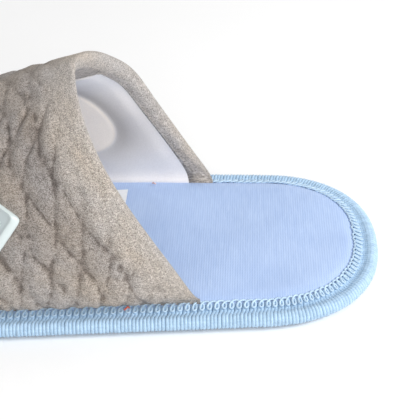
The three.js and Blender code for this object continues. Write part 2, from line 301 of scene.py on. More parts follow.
def make_piece(name, points, faces, material, uv=None, relief=None, weld=False):
    """A smooth mesh object from points in millimetres, riding on the root body.

    uv holds millimetres on the flat cloth. relief holds two shares a point for the material to read.
    """
    mesh = bpy.data.meshes.new(name)
    mesh.from_pydata((np.asarray(points) * MM).tolist(), [], np.asarray(faces).tolist())
    mesh.shade_smooth()
    corner = np.zeros(len(mesh.loops), int)
    mesh.loops.foreach_get("vertex_index", corner)
    for layer_name, values in (("cloth", uv), ("relief", relief)):
        if values is not None:
            layer = mesh.uv_layers.new(name=layer_name)
            layer.data.foreach_set("uv", np.asarray(values, float)[corner].ravel())
    if weld:
        worked = bmesh.new()
        worked.from_mesh(mesh)
        bmesh.ops.remove_doubles(worked, verts=worked.verts, dist=WELD_MM * MM)
        worked.to_mesh(mesh)
        worked.free()
    mesh.materials.append(material)
    piece = bpy.data.objects.new(name, mesh)
    bpy.context.scene.collection.objects.link(piece)
    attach(piece, "root")
    return piece


def grid_faces(rows, columns, wrap=False, flip=False):
    """Quads over rows x columns points stored row by row; wrap joins the last column to the first."""
    i, j = np.meshgrid(np.arange(rows - 1), np.arange(columns if wrap else columns - 1), indexing="ij")
    k = (j + 1) % columns
    quads = np.stack([i * columns + j, i * columns + k, (i + 1) * columns + k, (i + 1) * columns + j], -1)
    quads = quads.reshape(-1, 4)
    return quads[:, ::-1] if flip else quads


def grid_piece(name, grid, material, wrap=False, flip=False, **layers):
    """A piece from rows x columns points."""
    faces = grid_faces(*grid.shape[:2], wrap, flip)
    return make_piece(name, grid.reshape(-1, 3), faces, material, **layers)


def yarn_tubes(paths, radius, reference, sides=6, closed=False):
    """Round tubes along many paths at once; returns points, faces and uv.

    paths is (tubes, steps, 3). radius is one number or one a step of each tube, and reference is a
    direction that no path runs along.
    """
    ahead = np.roll(paths, -1, 1) - np.roll(paths, 1, 1)
    if not closed:
        ahead[:, 0] = paths[:, 1] - paths[:, 0]
        ahead[:, -1] = paths[:, -1] - paths[:, -2]
    ahead /= np.linalg.norm(ahead, axis=-1, keepdims=True)
    across = np.cross(ahead, np.broadcast_to(reference, paths.shape))
    across /= np.linalg.norm(across, axis=-1, keepdims=True)
    out = np.cross(across, ahead)
    tubes, steps = paths.shape[:2]
    turn = np.linspace(0, 2 * np.pi, sides, endpoint=False)
    ring = out[:, :, None] * np.cos(turn)[:, None] + across[:, :, None] * np.sin(turn)[:, None]
    points = paths[:, :, None] + np.broadcast_to(radius, (tubes, steps))[..., None, None] * ring
    one = grid_faces(steps, sides, wrap=True, flip=True)
    if closed:
        last = (steps - 1) * sides + np.arange(sides)
        first = np.arange(sides)
        join = np.stack([last, first, np.roll(first, -1), np.roll(last, -1)], -1)
        one = np.concatenate([one, join])
    faces = (one[None] + (np.arange(tubes) * steps * sides)[:, None, None]).reshape(-1, 4)
    lengths = np.linalg.norm(np.diff(paths, axis=1, prepend=paths[:, :1]), axis=-1)
    along = np.broadcast_to(np.cumsum(lengths, 1)[:, :, None], points.shape[:3])
    around = np.broadcast_to(turn / (2 * np.pi), points.shape[:3])
    return points.reshape(-1, 3), faces, np.stack([along, around], -1).reshape(-1, 2)


# ---- materials ----


class Shader:
    """A node material under construction."""

    def __init__(self, name):
        self.material = bpy.data.materials.new(name)
        self.material.use_nodes = True
        self.tree = self.material.node_tree
        self.bsdf = self.tree.nodes["Principled BSDF"]

    def node(self, kind, sockets=None, **settings):
        made = self.tree.nodes.new(kind)
        for key, value in settings.items():
            setattr(made, key, value)
        for key, value in (sockets or {}).items():
            self.feed(made.inputs[key], value)
        return made

    def feed(self, socket, value):
        if isinstance(value, bpy.types.NodeSocket):
            self.tree.links.new(value, socket)
        else:
            socket.default_value = value

    def math(self, operation, a, b=0.0):
        return self.node("ShaderNodeMath", {0: a, 1: b}, operation=operation).outputs[0]

    def total(self, a, a_weight, b, b_weight):
        """The weighted sum of two values."""
        return self.math("ADD", self.math("MULTIPLY", a, a_weight), self.math("MULTIPLY", b, b_weight))

    def wave(self, value, period_mm):
        return self.math("SINE", self.math("MULTIPLY", value, 2 * math.pi / period_mm))

    def mix(self, share, a, b, blend="MIX"):
        made = self.node("ShaderNodeMix", {0: share, 6: a, 7: b}, data_type="RGBA", blend_type=blend)
        return made.outputs[2]

    def ramp(self, value, *stops):
        made = self.node("ShaderNodeValToRGB", {0: value})
        elements = made.color_ramp.elements
        while len(elements) < len(stops):
            elements.new(0.5)
        for element, (place, colour) in zip(elements, stops):
            element.position = place
            element.color = colour
        return made.outputs[0]

    def tinted(self, colour, value, *stops):
        """The colour multiplied by a ramp of the value."""
        return self.mix(1.0, colour, self.ramp(value, *stops), "MULTIPLY")

    def scaled(self, vector, scale):
        return self.node("ShaderNodeMapping", {0: vector, "Scale": scale}).outputs[0]

    def noise(self, vector, scale, detail=2.0, roughness=0.5):
        sockets = {"Vector": vector, "Scale": scale, "Detail": detail, "Roughness": roughness}
        return self.node("ShaderNodeTexNoise", sockets).outputs[0]

    def cells(self, vector):
        """A random number for each cell about one unit across."""
        colour = self.node("ShaderNodeTexVoronoi", {"Vector": vector, "Scale": 1.0}).outputs["Color"]
        return self.parts(colour)[0]

    def uv(self, layer="cloth"):
        return self.node("ShaderNodeUVMap", uv_map=layer).outputs[0]

    def place(self):
        """Object coordinates in millimetres."""
        return self.scaled(self.node("ShaderNodeTexCoord").outputs["Object"], (1000, 1000, 1000))

    def parts(self, vector):
        return self.node("ShaderNodeSeparateXYZ", {0: vector}).outputs

    def twist(self, length_mm):
        """The height of a strand that winds once round a yarn in the given length."""
        along, around, _ = self.parts(self.uv())
        return self.wave(self.math("ADD", self.math("DIVIDE", along, length_mm), around), 1.0)

    def bump(self, height, distance_mm, strength):
        sockets = {"Height": height, "Distance": distance_mm * MM, "Strength": strength}
        return self.node("ShaderNodeBump", sockets).outputs[0]

    def finish(self, colour, roughness, normal=None, **fixed):
        self.feed(self.bsdf.inputs["Base Color"], colour)
        self.feed(self.bsdf.inputs["Roughness"], roughness)
        if normal is not None:
            self.feed(self.bsdf.inputs["Normal"], normal)
        for key, value in fixed.items():
            self.bsdf.inputs[key.replace("_", " ")].default_value = value
        return self.material


def rgb(red, green, blue):
    """A colour given as on a screen, 0 to 255."""
    shares = (red / 255, green / 255, blue / 255)
    linear = [c / 12.92 if c <= 0.04 else ((c + 0.055) / 1.055) ** 2.4 for c in shares]
    return (*linear, 1.0)


def marl_jersey():
    """Salt-and-pepper knit: every loop has its own grey, with painted shade in the creases, in small
    crumples and over the quilted body away from the hem.
    """
    s = Shader("marl_jersey")
    cloth = s.uv()
    loops = s.cells(s.scaled(cloth, (3.1, 3.6, 1)))
    fibres = s.noise(s.scaled(cloth, (4.2, 2.2, 1)), 1.0, 3, 0.7)
    patches = s.noise(s.scaled(cloth, (0.05, 0.035, 1)), 1.0, 3, 0.5)
    painted_crumple_shade = s.noise(s.scaled(cloth, (0.5, 0.22, 1)), 1.0, 3, 0.6)
    painted_crease_level, body, _ = s.parts(s.uv("relief"))

    grain = s.total(loops, 0.55, fibres, 0.9)
    dark, middle = rgb(142, 134, 127), rgb(189, 180, 171)
    light, pale = rgb(214, 205, 196), rgb(244, 237, 229)
    colour = s.ramp(grain, (0.42, dark), (0.6, middle), (0.76, light), (0.96, pale))
    # Painted shade of small crumples: the knit darkened in patches of a stretched noise.
    colour = s.tinted(colour, painted_crumple_shade, (0.38, rgb(238, 238, 237)), (0.6, WHITE))
    colour = s.tinted(colour, patches, (0.35, rgb(243, 245, 250)), (0.65, rgb(255, 250, 244)))
    # Painted shade: the quilted body darker than the hem band, a little less so near the foot.
    colour = s.tinted(colour, body, (0.0, WHITE), (1.0, rgb(210, 208, 208)))
    # Painted shade: the knit darker deep in the quilting's creases and a little on their slopes.
    painted_crease_shade, on_slope = rgb(205, 200, 197), rgb(248, 247, 246)
    colour = s.tinted(colour, painted_crease_level, (0.05, painted_crease_shade), (0.45, on_slope), (0.8, WHITE))

    u, v, _ = s.parts(cloth)
    knit = s.math("MULTIPLY", s.wave(u, 0.95), s.wave(v, 0.8))
    normal = s.bump(s.total(knit, 0.6, grain, 2.0), 0.2, 0.9)
    return s.finish(colour, 0.95, normal, Sheen_Weight=0.2, Sheen_Roughness=0.6, Specular_IOR_Level=0.15)


def fleece():
    """Short white pile, warmer on the lining's loose fold and shaded round it."""
    s = Shader("fleece")
    place = s.place()
    pile = s.noise(place, 1.7, 4, 0.7)
    lie = s.noise(place, 0.09, 2, 0.5)
    fold, shade, _ = s.parts(s.uv("relief"))
    colour = s.ramp(pile, (0.3, rgb(247, 244, 241)), (0.62, rgb(255, 253, 250)))
    colour = s.tinted(colour, lie, (0.3, rgb(250, 250, 252)), (0.7, WHITE))
    colour = s.tinted(colour, fold, (0.1, rgb(253, 251, 252)), (0.7, rgb(255, 246, 236)))
    colour = s.tinted(colour, shade, (0.0, WHITE), (1.0, rgb(178, 175, 172)))
    return s.finish(colour, 1.0, s.bump(pile, 0.3, 0.35), Sheen_Weight=0.5, Sheen_Roughness=0.7)


def binding_yarn(name, tint):
    """Bulked polyester yarn: a loose twist, a soft gloss and a slight drift of colour."""
    s = Shader(name)
    drift = s.noise(s.place(), 0.5, 3, 0.6)
    darker = rgb(*[part - 14 for part in tint])
    lighter = rgb(*[min(255, part + 9) for part in tint])
    colour = s.ramp(drift, (0.3, darker), (0.7, lighter))
    normal = s.bump(s.twist(0.9), 0.06, 0.6)
    return s.finish(colour, 0.5, normal, Sheen_Weight=0.15, Specular_IOR_Level=0.45)


def insole_weave():
    """Plain-woven cloth of 0.9 mm a thread, a little ribbed across the foot, with slubs in its weft."""
    s = Shader("insole_cloth")
    place = s.place()
    x, y, _ = s.parts(place)
    dots = s.math("ADD", s.math("MULTIPLY", s.wave(y, 0.9), 0.55), 0.45)
    weave = s.math("MULTIPLY", s.wave(x, 0.92), dots)
    slubs = s.noise(s.scaled(place, (1.1, 0.12, 1)), 1.0, 2, 0.6)
    cloud = s.noise(s.scaled(place, (0.02, 0.03, 1)), 1.0, 2, 0.5)
    level = s.total(s.total(weave, 0.18, slubs, 0.5), 1.0, cloud, 0.5)
    dark, middle, light = rgb(163, 187, 227), rgb(177, 199, 236), rgb(191, 212, 245)
    colour = s.ramp(level, (0.2, dark), (0.5, middle), (0.8, light))
    return s.finish(colour, 0.85, s.bump(weave, 0.06, 0.8), Sheen_Weight=0.1, Specular_IOR_Level=0.25)


def label_ribbon():
    """Satin ribbon with fine ribs that run along the foot."""
    s = Shader("label_ribbon")
    place = s.place()
    y = s.parts(place)[1]
    colour = s.ramp(s.noise(place, 0.5), (0.3, rgb(236, 238, 242)), (0.7, rgb(248, 249, 250)))
    return s.finish(colour, 0.55, s.bump(s.wave(y, 0.5), 0.04, 0.5))


def soft_foam():
    """Open-celled white foam."""
    s = Shader("soft_foam")
    cells = s.noise(s.place(), 1.6, 3, 0.6)
    colour = s.ramp(cells, (0.3, rgb(226, 226, 224)), (0.7, rgb(246, 246, 244)))
    return s.finish(colour, 0.95, s.bump(cells, 0.2, 0.6))


def outsole_foam():
    """Closed-cell foam with a fine skin, a little scuffed."""
    s = Shader("outsole_foam")
    place = s.place()
    cells = s.noise(place, 2.4, 3, 0.65)
    scuffs = s.noise(place, 0.05, 3, 0.6)
    colour = s.ramp(cells, (0.35, rgb(150, 186, 220)), (0.65, rgb(172, 205, 233)))
    colour = s.tinted(colour, scuffs, (0.35, rgb(232, 234, 236)), (0.6, WHITE))
    return s.finish(colour, 0.75, s.bump(cells, 0.12, 0.6), Specular_IOR_Level=0.35)


def badge_moulding():
    """Soft mint moulding with a satin coat and a paler border."""
    s = Shader("badge_moulding")
    place = s.place()
    grain = s.noise(place, 2.2)
    cloud = s.noise(place, 0.12)
    border = s.parts(s.uv("relief"))[0]
    face = s.ramp(cloud, (0.35, rgb(176, 188, 190)), (0.65, rgb(184, 194, 196)))
    colour = s.mix(border, face, rgb(208, 219, 219))
    return s.finish(colour, 0.3, s.bump(grain, 0.03, 0.4), Coat_Weight=0.4, Coat_Roughness=0.15)


def sewing_thread(name, tint):
    """Fine twisted thread."""
    s = Shader(name)
    ply = s.twist(0.5)
    level = s.math("ADD", s.math("MULTIPLY", ply, 0.5), 0.5)
    colour = s.ramp(level, (0.0, rgb(*[part * 0.86 for part in tint])), (1.0, rgb(*tint)))
    return s.finish(colour, 0.6, s.bump(ply, 0.03, 0.5))


# ---- the upper ----


def upper_point(share, rise, depth, side):
    """The upper's surface: share 0 at the throat to 1 at the toe, rise 0 at its foot to 1 at its crown.

    depth lies below the outside, and side is 1 on the outer side and -1 on the inner side.
    """
    share, rise, depth, side = np.broadcast_arrays(share, rise, depth, side)
    foot, outward = rim(SEAM_LENGTH * (1 - share), SEAM_INSET + depth)
    foot_x, foot_y = foot[..., 0], np.maximum(foot[..., 1], 0)
    toe_x = LENGTH / 2 - SEAM_INSET - depth
    along = np.clip((foot_x - THROAT_FOOT_X) / (toe_x - THROAT_FOOT_X), 0, 1)
    closing = np.minimum(1, foot_y / (flared_half_width(foot_x) - SEAM_INSET - depth))
    crest = (THROAT_CREST_Z - SEAM_Z) * (1 - CREST_FALL * along**CREST_FALL_POWER) - depth
    height = crest * closing**TOE_DOME_POWER * rise
    across = ARCH_AT_THROAT[0] + (ARCH_AT_TOE[0] - ARCH_AT_THROAT[0]) * along
    up = ARCH_AT_THROAT[1] + (ARCH_AT_TOE[1] - ARCH_AT_THROAT[1]) * along
    narrowing = np.maximum(0, 1 - rise**up) ** (1 / across)
    pinch = depth * FOOT_PINCH * np.exp(-height / PINCH_RISE)
    swell = BULGE * (1 - np.exp(-height / BULGE_RISE)) + pinch
    lean = THROAT_LEAN * (1 - along) ** LEAN_FADE * rise**LEAN_RISE
    fullness = bell(rise, SHOULDER_RISE, SHOULDER_SPREAD) * (1 - along) ** SHOULDER_FADE
    shoulder = SHOULDER * fullness * (side < 0)
    run_on = np.where(side > 0, *FOOT_REACH) * np.exp(-height / FOOT_REACH_HEIGHT)
    run_on = run_on * (1 - along) ** FOOT_REACH_FADE
    x = foot_x + lean - run_on + outward[..., 0] * swell
    y = side * (foot_y + outward[..., 1] * swell) * narrowing - shoulder
    return np.stack([x, y, SEAM_Z + height + shoulder], -1)


def arch_stations(shares, half_columns):
    """rise and side for every point of the arches at the given shares, evenly spaced from foot to foot."""
    fine = np.sin(np.linspace(0, np.pi / 2, 400)) ** 0.8
    last_share = 0.985  # beyond it the arches are too small to measure
    rises = []
    for share in np.minimum(shares, last_share):
        curve = upper_point(share, fine, UPPER_THICKNESS / 2, 1.0)
        reach = np.concatenate([[0], np.cumsum(np.linalg.norm(np.diff(curve, axis=0), axis=1))])
        rises.append(np.interp(np.linspace(0, reach[-1], half_columns + 1), reach, fine))
    rises = np.array(rises)
    rise = np.concatenate([rises, rises[:, -2::-1]], 1)
    side = np.where(np.arange(rise.shape[1]) <= half_columns, 1.0, -1.0)
    return rise, np.broadcast_to(side, rise.shape)


def inward_normals(grid):
    """Unit normals of arches listed from the toe to the throat and from +Y over to -Y."""
    normal = np.cross(np.gradient(grid, axis=1), np.gradient(grid, axis=0))
    return normal / np.maximum(np.linalg.norm(normal, axis=-1, keepdims=True), 1e-9)


def crown_distance(grid):
    """Distance of each point along its arch from the crown, positive on the +Y side."""
    steps = np.linalg.norm(np.diff(grid, axis=1), axis=-1)
    reach = np.concatenate([np.zeros((len(grid), 1)), np.cumsum(steps, 1)], 1)
    crown = reach[:, grid.shape[1] // 2][:, None]
    return crown - reach


def wandering(place, flat, wavelength, seed):
    """Places across a family of sewn lines, moved a little so that the lines wander."""
    return place + LINE_DRIFT * waves(flat, wavelength, seed) + LINE_TREMBLE * waves(flat, 11, seed + 7)


def sewn_lines(across, spacing):
    """Distance to the nearest line of a family, and a dome between the lines."""
    turn = across / spacing
    return spacing * np.abs(turn - np.round(turn)), np.abs(np.sin(np.pi * turn))


def quilting(x, v, edge_distance, foot_distance):
    """Height of the padded cloth over its unquilted surface at place x, crown distance v."""
    flat = np.stack([x, v], -1)
    x = wandering(x, flat, 46, 1)
    v = wandering(v, flat, 60, 2)
    steep_at = (x - math.tan(STEEP_TILT) * v) * math.cos(STEEP_TILT)
    slant_at = (x + math.tan(SLANT_TILT) * v) * math.cos(SLANT_TILT)
    to_steep, steep_dome = sewn_lines(steep_at, STEEP_SPACING)
    to_slant, slant_dome = sewn_lines(slant_at, SLANT_SPACING)
    dome = PUFF_HEIGHT * (steep_dome * slant_dome) ** 0.6 * (1 + 0.35 * waves(flat, 18, 3))

    # How hard each thread is pulled, which varies along it.
    steep_pull = np.clip(0.75 + 0.25 * waves(flat, 12, 10), 0.05, 1.5)
    slant_pull = np.clip(0.8 + 0.3 * waves(flat, 14, 11), 0.1, 1.6)
    steep_crease = steep_pull * np.exp(-to_steep / CREASE_WIDTH)
    slant_crease = slant_pull * np.exp(-to_slant / CREASE_WIDTH)
    creases = CREASE_DEPTH * np.maximum(steep_crease, slant_crease)
    near_line = np.exp(-np.minimum(to_steep, to_slant) / PUCKER_REACH)
    puckers = PUCKER_HEIGHT * near_line * waves(flat, 3.6, 4)

    in_from_hem = smooth_step(HEM_WIDTH * 0.55, HEM_WIDTH * 1.5, edge_distance)
    quilted = in_from_hem * smooth_step(-2, 8, foot_distance)
    quilted = quilted * (1 - CROWN_CALM * bell(v, CROWN_CALM_AT, CROWN_CALM_WIDTH))
    crumple = 0.06 * waves(flat, 6, 5) + 0.18 * waves(flat, 34, 6)
    lengthwise = np.stack([x, 0 * x], -1)
    gathers = GATHER_HEIGHT * waves(lengthwise, 6.5, 7) * np.exp(-foot_distance / GATHER_REACH)
    loose = smooth_step(0, 2.5, foot_distance) * smooth_step(0, 6, edge_distance)
    return (dome - creases + puckers - 0.15) * quilted + (crumple + gathers) * loose


def facing_edge(rise):
    """Share of the seam's length at which the turned edge ends, for each rise."""
    at_foot = FACING_FOOT_SHARE * np.exp(-rise / 0.16)
    under_crown = FACING_CROWN_SHARE * smooth_step(0.82, 0.86, rise)
    return FACING_SHARE + at_foot + under_crown


def throat_roll(outer, edge_rise, edge_side):
    """Rows of the edge rolled round the throat, from the row outer to the inside."""
    inner = upper_point(0.0, edge_rise, UPPER_THICKNESS, edge_side)
    forward = upper_point(0.0, edge_rise, UPPER_THICKNESS / 2, edge_side)
    forward = forward - upper_point(0.02, edge_rise, UPPER_THICKNESS / 2, edge_side)
    forward /= np.linalg.norm(forward, axis=-1, keepdims=True)
    across = (inner - outer) / 2
    reach = np.linalg.norm(across, axis=-1, keepdims=True)
    above_foot = outer[:, 2:] - SEAM_Z
    reach = reach * (1 - 0.3 * np.exp(-above_foot / 5))
    middle = (outer + inner) / 2
    turns = np.linspace(0, math.pi, ROLL_STEPS + 1)[1:]
    return [middle - across * math.cos(turn) + forward * reach * math.sin(turn) for turn in turns]


def add_feet(grid, foot_z):
    """The arches with one more point below each foot, tucked into the binding."""
    foot = grid[:, [0, -1]].copy()
    foot[..., 2] = foot_z
    return np.concatenate([foot[:, :1], grid, foot[:, 1:]], 1)


def carried_on(field, rows_behind=0):
    """A field over the arches, carried on to their added feet and to rows behind the throat."""
    return np.pad(field, ((0, rows_behind), (1, 1)), mode="edge")


def quilted_upper(material):
    """Shell and padding as one body: the quilted outside, the rolled throat edge and the turned-in band."""
    rows, half = 300, 150
    shares = np.linspace(1, 0, rows)
    rise, side = arch_stations(shares, half)
    outside = upper_point(shares[:, None], rise, 0.0, side)
    v = crown_distance(outside)
    edge_distance = np.broadcast_to(shares[:, None] * SEAM_LENGTH * EDGE_NEARNESS, v.shape)
    foot_distance = np.abs(v[:, :1]) - np.abs(v)
    height = quilting(outside[..., 0], v, edge_distance, foot_distance)
    height = height * smooth_step(0.0, TOE_CALM_SHARE, 1 - shares[:, None])
    rounding = EDGE_ROUNDING * np.exp(-edge_distance / EDGE_ROUNDING_REACH)
    rounding = rounding * smooth_step(0, 2.5, foot_distance)
    outside = outside - inward_normals(outside) * (height - rounding)[..., None]

    roll = throat_roll(outside[-1], rise[-1], side[-1])
    edge = facing_edge(rise[-1])
    facing = [upper_point(edge * part, rise[-1], UPPER_THICKNESS, side[-1]) for part in (0.5, 1.0)]
    ends = (edge, edge + FACING_TUCK_SHARE)
    tucked = [upper_point(end, rise[-1], FACING_TUCK_DEPTH, side[-1]) for end in ends]
    grid = add_feet(np.concatenate([outside, roll, facing, tucked]), UPPER_FOOT_Z)

    behind = len(grid) - rows
    u = np.concatenate([shares * SEAM_LENGTH, -np.arange(1, behind + 1)])
    v = carried_on(v, behind)
    v[:, 0] += 3
    v[:, -1] -= 3
    uv = np.stack([np.broadcast_to(u[:, None], v.shape), v], -1).reshape(-1, 2)
    # Share for the jersey's painted shade in the creases, from the quilting's height.
    painted_crease_level = np.clip(0.55 + height / (2 * CREASE_DEPTH), 0, 1)
    # Share for the jersey's painted shade over the body: none at the hem band, less near the foot.
    body = smooth_step(2, 18, edge_distance) * (0.62 + 0.38 * smooth_step(10, 45, foot_distance))
    relief = np.stack([carried_on(painted_crease_level, behind), carried_on(body, behind)], -1).reshape(-1, 2)
    return grid_piece("quilted_upper", grid, material, uv=uv, relief=relief)


def lining_fold(points, side):
    """Where the lining's loose fold lies, 0 to 1, and the soft shade it throws round itself."""
    dx, dz = points[..., 0] - FOLD_MIDDLE[0], points[..., 2] - FOLD_MIDDLE[1]
    lengthwise = dx * math.cos(FOLD_TILT) + dz * math.sin(FOLD_TILT)
    upright = dz * math.cos(FOLD_TILT) - dx * math.sin(FOLD_TILT)
    lengthwise = np.where(lengthwise > 0, lengthwise * FOLD_TOE_STRETCH, lengthwise)
    radius = np.hypot(lengthwise / FOLD_REACH[0], upright / FOLD_REACH[1])
    inner_side = side < 0
    fold = smooth_step(1.03, 0.95, radius) * inner_side
    shade = np.exp(-np.maximum(0, radius - 1.1) / 0.36) * (1 - fold) * inner_side
    return fold, shade * (0.4 + 0.6 * smooth_step(-16, 8, upright))


def fleece_lining(material):
    """The lining, from the turned edge to the toe, with its fold on the inner side."""
    rows, half = 220, 120
    back = np.linspace(1, 0, rows)
    rise, side = arch_stations(back, half)
    edge = facing_edge(rise[-1])
    shares = edge + (1 - edge) * back[:, None]
    inside = upper_point(shares, rise, UPPER_THICKNESS, side)
    flat = np.stack([inside[..., 0], crown_distance(inside)], -1)
    fold, shade = lining_fold(inside, side)
    loft = (0.45 + 0.2 * waves(flat, 34, 21)) * smooth_step(0, 0.03, back)[:, None]
    loft = loft + FOLD_HEIGHT * fold
    grid = add_feet(inside + inward_normals(inside) * loft[..., None], LINING_FOOT_Z)
    relief = np.stack([carried_on(fold), carried_on(shade)], -1).reshape(-1, 2)
    return grid_piece("fleece_lining", grid, material, flip=True, relief=relief)


def facing_stitches(material):
    """Short stitches that hold the turned edge down on the lining."""
    rise, side = arch_stations(np.array([FACING_SHARE]), 200)
    arch = upper_point(0.7 * facing_edge(rise[0]), rise[0], UPPER_THICKNESS + 0.1, side[0])
    reach = np.concatenate([[0], np.cumsum(np.linalg.norm(np.diff(arch, axis=0), axis=1))])
    starts = np.arange(4.0, reach[-1] - 6, FACING_STITCH_PITCH)
    at = starts[:, None] + np.linspace(0, FACING_STITCH, 6)
    paths = np.stack([np.interp(at, reach, arch[:, axis]) for axis in range(3)], -1)
    points, faces, uv = yarn_tubes(paths, FACING_THREAD_RADIUS, (1.0, 0.0, 0.0))
    return make_piece("facing_stitches", points, faces, material, uv)


# ---- the badge ----


def shell_at(share, rise):
    """The upper's unquilted outside on the badge's side."""
    return upper_point(share, rise, 0.0, 1.0)


def badge_frame():
    """The badge's middle on the shell and its right, up and outward directions."""
    step = 0.01
    ahead = shell_at(BADGE_ALONG + step, BADGE_RISE) - shell_at(BADGE_ALONG - step, BADGE_RISE)
    ahead /= np.linalg.norm(ahead)
    upwards = shell_at(BADGE_ALONG, BADGE_RISE + step) - shell_at(BADGE_ALONG, BADGE_RISE - step)
    outward = -np.cross(ahead, upwards)
    outward /= np.linalg.norm(outward)
    right = ahead * math.cos(BADGE_TURN) + np.cross(outward, ahead) * math.sin(BADGE_TURN)
    return shell_at(BADGE_ALONG, BADGE_RISE), right, np.cross(outward, right), outward


def on_badge(u, v, lift):
    """Points at (u, v) in the badge's frame, lifted off the shell along the badge's outward direction.

    Newton's method finds the place on the shell that lies under each point.
    """
    middle, right, up, outward = badge_frame()
    share = np.full(u.shape, BADGE_ALONG)
    rise = np.full(u.shape, BADGE_RISE)
    step = 1e-3

    def miss(at_share, at_rise):
        gap = shell_at(at_share, at_rise) - middle
        return np.stack([gap @ right - u, gap @ up - v])

    for _ in range(12):
        here = miss(share, rise)
        by_share = (miss(share + step, rise) - here) / step
        by_rise = (miss(share, rise + step) - here) / step
        spread = by_share[0] * by_rise[1] - by_rise[0] * by_share[1]
        share = share - (here[0] * by_rise[1] - here[1] * by_rise[0]) / spread
        rise = rise - (here[1] * by_share[0] - here[0] * by_share[1]) / spread
    height = (shell_at(share, rise) - middle) @ outward
    return middle + u[..., None] * right + v[..., None] * up + (height + lift)[..., None] * outward


def rounded_square(half):
    """Points of a square of the given half width with soft corners."""
    power = BADGE_CORNER_POWER
    angle = np.linspace(0, 2 * np.pi, BADGE_STATIONS, endpoint=False) + np.pi / 4
    reach = (np.abs(np.cos(angle)) ** power + np.abs(np.sin(angle)) ** power) ** (-1 / power)
    return half * reach * np.cos(angle), half * reach * np.sin(angle)


def side_badge(material):
    """A flat face inside a raised border that slopes down to a rounded rim."""
    half = BADGE_SIDE / 2
    inner = half - BADGE_BORDER_WIDTH
    top = BADGE_THICKNESS + BADGE_BORDER
    # distance from the middle, height, share of the border's colour, share of the face's upward shift
    section = [
        (0.02, BADGE_THICKNESS, 0, 1),
        (inner * 0.5, BADGE_THICKNESS, 0, 1),
        (inner - 0.6, BADGE_THICKNESS, 0, 1),
        (inner - 0.1, BADGE_THICKNESS + 0.1, 0.2, 1),
        (inner + 0.3, top - 0.2, 0.7, 1),
        (inner + 0.6, top, 1, 0.95),
        (half - 0.9, top - 0.5, 1, 0.4),
        (half - 0.4, top - 0.85, 1, 0.1),
        (half - 0.1, top - 1.3, 1, 0),
        (half, top - 1.9, 1, 0),
        (half - 0.1, 0.1, 1, 0),
        (half - 2.0, -0.5, 1, 0),
    ]
    _, right, up, _ = badge_frame()
    upwards = np.array([right[2], up[2]]) * BADGE_FACE_SHIFT / math.hypot(right[2], up[2])
    rows = []
    levels = []
    for reach, height, border, shift in section:
        u, v = rounded_square(reach)
        lift = np.full(BADGE_STATIONS, BADGE_SEAT + height)
        rows.append(on_badge(u + shift * upwards[0], v + shift * upwards[1], lift))
        levels.append(np.full((BADGE_STATIONS, 2), float(border)))
    return grid_piece("badge", np.array(rows), material, wrap=True, relief=np.concatenate(levels))


def badge_stitches(material):
    """A row of short stitches round the badge's face."""
    half = BADGE_SIDE / 2 - BADGE_BORDER_WIDTH - 2.6
    edge = np.full(6, half)
    arc = 0.12 * np.sin(np.linspace(0, math.pi, 6))
    paths = []
    for turn in range(4):
        for k in range(STITCHES_A_SIDE):
            along = half * (2 * (k + np.linspace(0.14, 0.86, 6)) / STITCHES_A_SIDE - 1)
            u, v = [(along, edge), (edge, -along), (-along, -edge), (-edge, along)][turn]
            paths.append(on_badge(u, v, BADGE_SEAT + BADGE_THICKNESS + arc))
    outward = badge_frame()[3]
    points, faces, uv = yarn_tubes(np.array(paths), 0.2, outward)
    return make_piece("badge_stitches", points, faces, material, uv)


# ---- the sole ----


def disc_rows(insets, height):
    """Rows of points from the rim to the long middle line.

    height is a number, or a function of the places in a row and their inset.
    """
    distance = np.linspace(0, PERIMETER, DISC_STATIONS, endpoint=False)
    rings = [rim(distance, np.full(DISC_STATIONS, inset))[0] for inset in insets]
    shares = np.linspace(1, 0, 9)[1:]
    rings += [rings[-1] * [1, share] for share in shares]
    insets = np.concatenate([insets, np.full(len(shares), HEEL_HALF_WIDTH)])
    rows = []
    for at, inset in zip(rings, insets):
        z = height(at, inset) if callable(height) else height
        rows.append(np.column_stack([at, np.broadcast_to(z, len(at))]))
    return np.array(rows)


def slab(name, top, bottom, material):
    """A closed sheet with the sole's outline."""
    grid = np.concatenate([disc_rows(SHEET_INSETS, top)[::-1], disc_rows(SHEET_INSETS, bottom)])
    return grid_piece(name, grid, material, wrap=True, flip=True, weld=True)


def outsole(material):
    """The thin foam outsole: flat, with wavy grooves on its underside."""

    def bottom(at, inset):
        x, y = at.T
        ridge = 0.5 + 0.5 * np.sin(2 * np.pi * (x + 2.5 * np.sin(y / 6)) / TREAD_PITCH)
        tread = TREAD_DEPTH * smooth_step(0.35, 0.75, ridge)
        rim_rise = 1.75 * (1 - smooth_step(9.0, 11.0, inset))
        return rim_rise + tread * smooth_step(11.0, 12.5, inset)

    return slab("outsole_tread", OUTSOLE_TOP, bottom, material)


def sole_padding(material):
    """Foam and sponge as one soft sheet, thin at the rim."""

    def top(_, inset):
        return PADDING_RIM_TOP + PADDING_RISE * smooth_step(9, 15, inset)

    return slab("sole_padding", top, PADDING_BOTTOM, material)


def stretched_insole(material):
    """The insole's cloth, drawn down under the loops of the binding."""

    def top(at, inset):
        drawn_down = INSOLE_DRAWN_DOWN * math.exp(-max(inset - 8.0, 0) / 2.8)
        slack = 0.12 * waves(at, 38, 31) * smooth_step(9, 20, inset) + 0.04 * waves(at, 13, 32)
        return INSOLE_Z - drawn_down + slack

    return grid_piece("insole_cloth", disc_rows(INSOLE_INSETS, top), material, wrap=True, weld=True)


